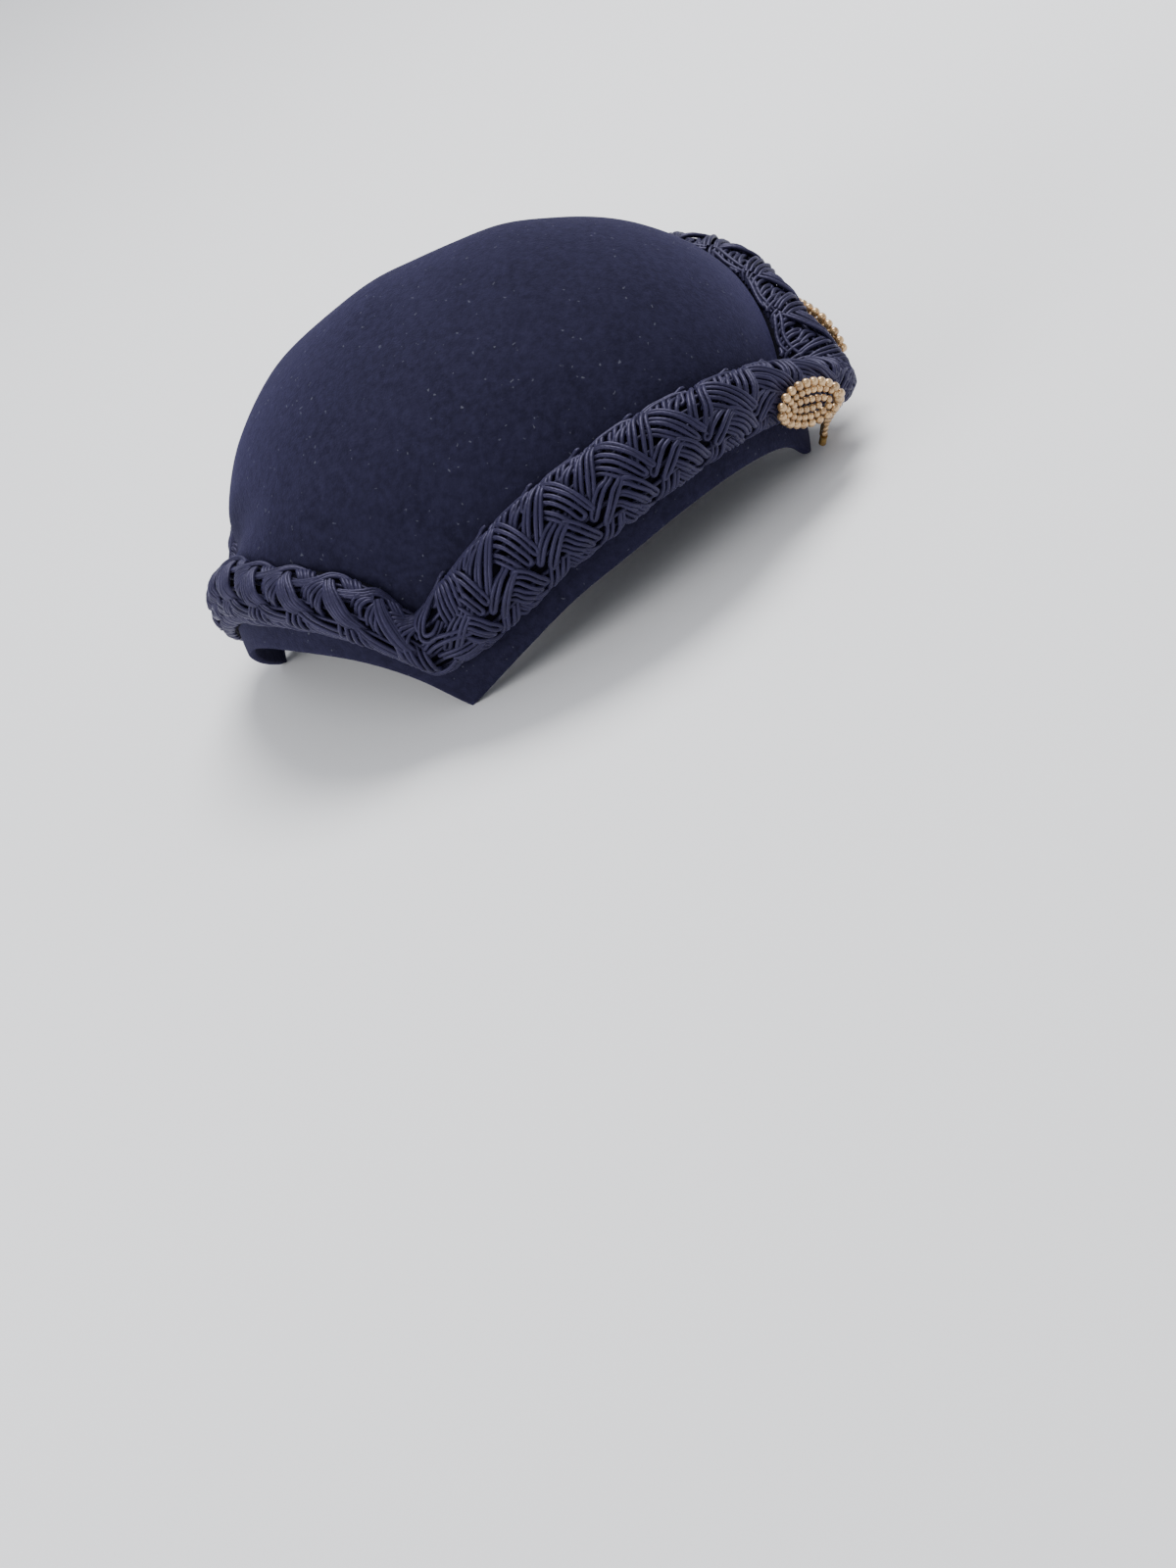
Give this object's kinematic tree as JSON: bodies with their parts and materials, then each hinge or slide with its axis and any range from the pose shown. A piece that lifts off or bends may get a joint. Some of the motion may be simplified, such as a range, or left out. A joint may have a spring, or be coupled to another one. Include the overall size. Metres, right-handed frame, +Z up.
{
  "type": "capulet",
  "caption": "Small navy felt cap with four points, a thick corded trim above its scalloped hem and two pearl scrolls at the front point.",
  "frame": {"origin": "middle of the cap's footprint, on the surface that its four points stand on", "axes": "+Z up out of the crown, -Y towards the front point, -X towards the wearer's right"},
  "size_m": [0.1844, 0.2216, 0.1069],
  "materials": {
    "felt": "matte wool felt with a soft nap",
    "cord": "rayon cord with a slight sheen",
    "pearl": "pearly"
  },
  "bodies": {
    "root": {"crown": "felt", "corded_trim": "cord", "pearl_scroll_right": "pearl", "pearl_scroll_left": "pearl"}
  },
  "joints": []
}
